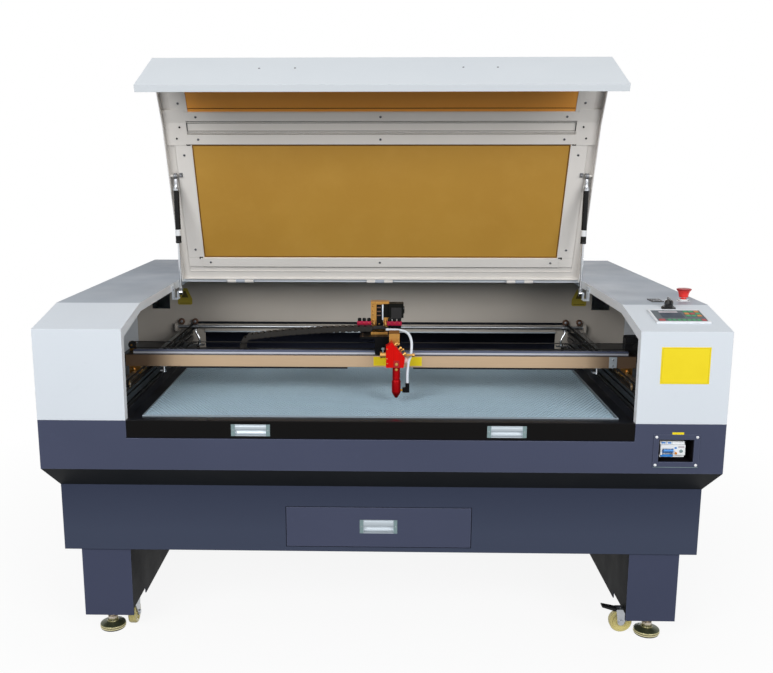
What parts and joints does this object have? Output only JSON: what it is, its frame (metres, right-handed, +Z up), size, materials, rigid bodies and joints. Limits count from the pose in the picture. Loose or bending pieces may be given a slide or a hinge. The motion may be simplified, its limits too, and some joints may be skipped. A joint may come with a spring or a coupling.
{
  "type": "laser cutting machine",
  "caption": "Flatbed laser cutting machine for acrylic sheet, with a raised glazed lid, a moving gantry over a honeycomb bed, a scrap drawer and feet beside castors.",
  "frame": {"origin": "on the floor, under the middle of the machine's bounding box", "axes": "+X to the operator's right, -Y to the operator at the front, +Z up"},
  "size_m": [1.85, 1.402, 1.6517],
  "materials": {
    "blue_paint": "textured satin",
    "white_paint": "textured satin",
    "liner_paint": "satin",
    "black_paint": "satin",
    "zinc": "zinc plated",
    "bed_aluminium": "bright",
    "black_profile": "black anodised",
    "belt_rubber": "matt",
    "panel_plastic": "matt",
    "black_plastic": "matt",
    "white_plastic": "matt",
    "brass": "satin",
    "amber_acrylic": "clear acrylic under a masking film",
    "bright_steel": "polished",
    "handle_aluminium": "satin",
    "beam_aluminium": "champagne anodised",
    "gold_anodised": "anodised",
    "magenta_anodised": "anodised",
    "red_anodised": "anodised",
    "white_hose": "satin",
    "red_plastic": "gloss",
    "blue_plastic": "matt",
    "cream_tread": "satin"
  },
  "bodies": {
    "chassis": {"base_cabinet": "blue_paint", "legs": "blue_paint", "levelling_feet": "zinc", "tower_left": "white_paint", "tower_right": "white_paint", "rear_housing": "white_paint", "chamber_wall": "liner_paint", "bed_deck": "black_paint", "honeycomb_frame": "bed_aluminium", "honeycomb": "bed_aluminium", "y_rails": "black_profile", "y_belts": "belt_rubber", "strut_brackets": "zinc", "lid_hinges": "zinc", "control_panel": "panel_plastic", "switch_bases": "black_plastic", "breaker_panel": "blue_paint", "breaker_body": "white_plastic", "exhaust_spigot": "zinc", "power_inlet": "black_plastic"},
    "lid": {"lid_shell": "white_paint", "lid_strips": "white_paint", "lid_windows": "amber_acrylic"},
    "strut_cylinders": {"gas_cylinders": "black_paint"},
    "strut_rods": {"gas_rods": "bright_steel"},
    "flap": {"front_flap": "black_paint", "flap_handles": "handle_aluminium"},
    "scrap_drawer": {"drawer": "blue_paint", "drawer_handle": "handle_aluminium"},
    "cross_shaft": {"sync_shaft": "zinc"},
    "belt_idlers": {"y_idlers": "brass"},
    "gantry": {"gantry_beam": "beam_aluminium", "gantry_ends": "brass", "x_motor": "black_paint", "x_belt": "belt_rubber", "chain_lower": "black_plastic"},
    "drive_pulley": {"x_drive_pulley": "brass"},
    "idler_pulley": {"x_idler_pulley": "brass"},
    "head": {"carriage": "black_paint", "lift_bracket": "gold_anodised", "lift_motor": "black_paint", "clamp_bars": "magenta_anodised", "mirror_block": "red_anodised", "air_hose": "white_hose", "chain_upper": "black_plastic"},
    "focus_tube": {"lens_tube": "red_anodised"},
    "chain_turn": {"chain_bend": "black_plastic"},
    "stop_button": {"estop_button": "red_plastic"},
    "key": {"key_switch": "black_plastic"},
    "breaker_levers": {"breaker_toggle": "blue_plastic"},
    "swivel_front_left": {"fork_front_left": "zinc"},
    "tread_front_left": {"wheel_front_left": "cream_tread"},
    "swivel_front_right": {"fork_front_right": "zinc"},
    "tread_front_right": {"wheel_front_right": "cream_tread"},
    "swivel_rear_left": {"fork_rear_left": "zinc"},
    "tread_rear_left": {"wheel_rear_left": "cream_tread"},
    "swivel_rear_right": {"fork_rear_right": "zinc"},
    "tread_rear_right": {"wheel_rear_right": "cream_tread"},
    "pedal_left": {"brake_left": "black_plastic"},
    "pedal_right": {"brake_right": "black_plastic"}
  },
  "joints": [
    {"name": "lid_hinge", "type": "hinge", "parent": "chassis", "child": "lid", "pos_m": [0, 0.077, 0.947], "axis": [1, 0, 0], "range_deg": [0, 67.5]},
    {"name": "strut_pivot", "type": "hinge", "parent": "lid", "child": "strut_cylinders", "pos_m": [0, -0.0791, 1.30556], "axis": [1, 0, 0], "range_deg": [0, 16.11]},
    {"name": "strut_stroke", "type": "slide", "parent": "strut_cylinders", "child": "strut_rods", "axis": [0, -0.0527, 0.9986], "range_m": [0, 0.12585]},
    {"name": "flap_hinge", "type": "hinge", "parent": "chassis", "child": "flap", "pos_m": [0, -0.694, 0.6182], "axis": [1, 0, 0], "range_deg": [0, 90]},
    {"name": "drawer_slide", "type": "slide", "parent": "chassis", "child": "scrap_drawer", "axis": [0, -1, 0], "range_m": [0, 0.42]},
    {"name": "gantry_slide", "type": "slide", "parent": "chassis", "child": "gantry", "axis": [0, 1, 0], "range_m": [-0.156, 0.605]},
    {"name": "cross_shaft_turn", "type": "hinge", "parent": "chassis", "child": "cross_shaft", "pos_m": [0, 0.286, 0.75], "axis": [1, 0, 0], "range_deg": [-3852.05, 993.63]},
    {"name": "belt_idler_turn", "type": "hinge", "parent": "chassis", "child": "belt_idlers", "pos_m": [0, -0.629, 0.75], "axis": [1, 0, 0], "range_deg": [-3852.05, 993.63]},
    {"name": "head_slide", "type": "slide", "parent": "gantry", "child": "head", "axis": [1, 0, 0], "range_m": [-0.62, 0.57], "deforming": ["chain_upper", "chain_lower"]},
    {"name": "drive_pulley_turn", "type": "hinge", "parent": "gantry", "child": "drive_pulley", "pos_m": [0.757, -0.402, 0.816], "axis": [0, 1, 0], "range_deg": [-3947.54, 3629.23]},
    {"name": "idler_pulley_turn", "type": "hinge", "parent": "gantry", "child": "idler_pulley", "pos_m": [-0.737, -0.402, 0.816], "axis": [0, 1, 0], "range_deg": [-3947.54, 3629.23]},
    {"name": "chain_travel", "type": "slide", "parent": "gantry", "child": "chain_turn", "axis": [1, 0, 0], "range_m": [-0.311, 0.286]},
    {"name": "focus_slide", "type": "slide", "parent": "head", "child": "focus_tube", "axis": [0, 0, 1], "range_m": [-0.01, 0.014], "deforming": ["air_hose"]},
    {"name": "stop_press", "type": "slide", "parent": "chassis", "child": "stop_button", "axis": [0, 0, -1], "range_m": [0, 0.005], "stiffness_N_per_m": 600},
    {"name": "key_turn", "type": "hinge", "parent": "chassis", "child": "key", "pos_m": [0.806, -0.519, 0.94929], "axis": [0, -0.1871, 0.9823], "range_deg": [-90, 0]},
    {"name": "breaker_throw", "type": "hinge", "parent": "chassis", "child": "breaker_levers", "pos_m": [0.777, -0.684, 0.585], "axis": [1, 0, 0], "range_deg": [0, 50]},
    {"name": "swivel_front_left_turn", "type": "hinge", "parent": "chassis", "child": "swivel_front_left", "pos_m": [-0.727, -0.574, 0.09], "axis": [0, 0, 1], "range_deg": [-130, 0]},
    {"name": "roll_front_left", "type": "hinge", "parent": "swivel_front_left", "child": "tread_front_left", "pos_m": [-0.727, -0.555, 0.034], "axis": [-1, 0, 0], "continuous": true},
    {"name": "swivel_front_right_turn", "type": "hinge", "parent": "chassis", "child": "swivel_front_right", "pos_m": [0.727, -0.574, 0.09], "axis": [0, 0, 1], "range_deg": [-90, 40]},
    {"name": "roll_front_right", "type": "hinge", "parent": "swivel_front_right", "child": "tread_front_right", "pos_m": [0.708, -0.574, 0.034], "axis": [0, -1, 0], "continuous": true},
    {"name": "swivel_rear_left_turn", "type": "hinge", "parent": "chassis", "child": "swivel_rear_left", "pos_m": [-0.727, 0.576, 0.09], "axis": [0, 0, 1], "range_deg": [-90, 90]},
    {"name": "roll_rear_left", "type": "hinge", "parent": "swivel_rear_left", "child": "tread_rear_left", "pos_m": [-0.708, 0.576, 0.034], "axis": [0, 1, 0], "continuous": true},
    {"name": "swivel_rear_right_turn", "type": "hinge", "parent": "chassis", "child": "swivel_rear_right", "pos_m": [0.727, 0.576, 0.09], "axis": [0, 0, 1], "range_deg": [-90, 90]},
    {"name": "roll_rear_right", "type": "hinge", "parent": "swivel_rear_right", "child": "tread_rear_right", "pos_m": [0.708, 0.576, 0.034], "axis": [0, -1, 0], "continuous": true},
    {"name": "brake_left_press", "type": "hinge", "parent": "swivel_front_left", "child": "pedal_left", "pos_m": [-0.727, -0.543, 0.0695], "axis": [-1, 0, 0], "range_deg": [0, 8]},
    {"name": "brake_right_press", "type": "hinge", "parent": "swivel_front_right", "child": "pedal_right", "pos_m": [0.696, -0.574, 0.0695], "axis": [0, -1, 0], "range_deg": [0, 8]}
  ],
  "couplings": [
    {"joint": "strut_pivot", "follows": "lid_hinge", "ratio": 0.23868},
    {"joint": "strut_stroke", "follows": "lid_hinge", "m_per_rad": 0.10665},
    {"joint": "cross_shaft_turn", "follows": "gantry_slide", "rad_per_m": -111.11},
    {"joint": "belt_idler_turn", "follows": "gantry_slide", "rad_per_m": -111.11},
    {"joint": "drive_pulley_turn", "follows": "head_slide", "rad_per_m": 111.11},
    {"joint": "idler_pulley_turn", "follows": "head_slide", "rad_per_m": 111.11},
    {"joint": "chain_travel", "follows": "head_slide", "ratio": 0.5}
  ]
}
